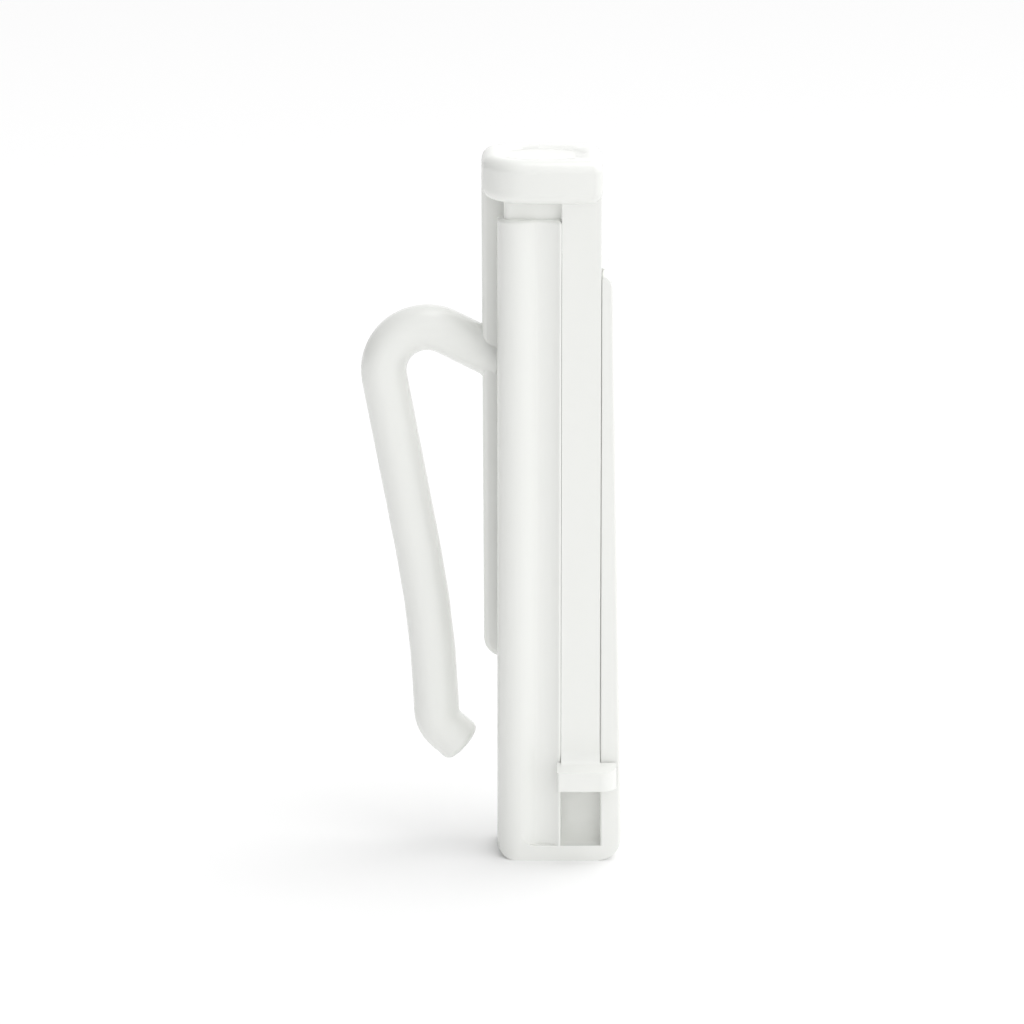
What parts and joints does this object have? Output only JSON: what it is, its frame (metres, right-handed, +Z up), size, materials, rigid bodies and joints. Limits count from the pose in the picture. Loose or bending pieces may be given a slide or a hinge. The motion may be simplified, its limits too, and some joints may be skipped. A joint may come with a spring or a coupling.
{
  "type": "curtain pleat hook",
  "caption": "Plastic curtain pleat hook in two halves that slide together to pinch a pleat, with a hooked arm.",
  "frame": {"origin": "middle of the underside of the fork's foot", "axes": "+Z up along the prongs, -Y towards the fluted front, the arm leaves towards -X"},
  "size_m": [0.0235, 0.0105, 0.065],
  "materials": {
    "white_plastic": "moulded, soft gloss"
  },
  "bodies": {
    "fork": {"pleat_fork": "white_plastic"},
    "slide": {"hook_slide": "white_plastic"}
  },
  "joints": [
    {"name": "slide_apart", "type": "slide", "parent": "fork", "child": "slide", "axis": [0, 0, 1], "range_m": [0, 0.055]}
  ]
}
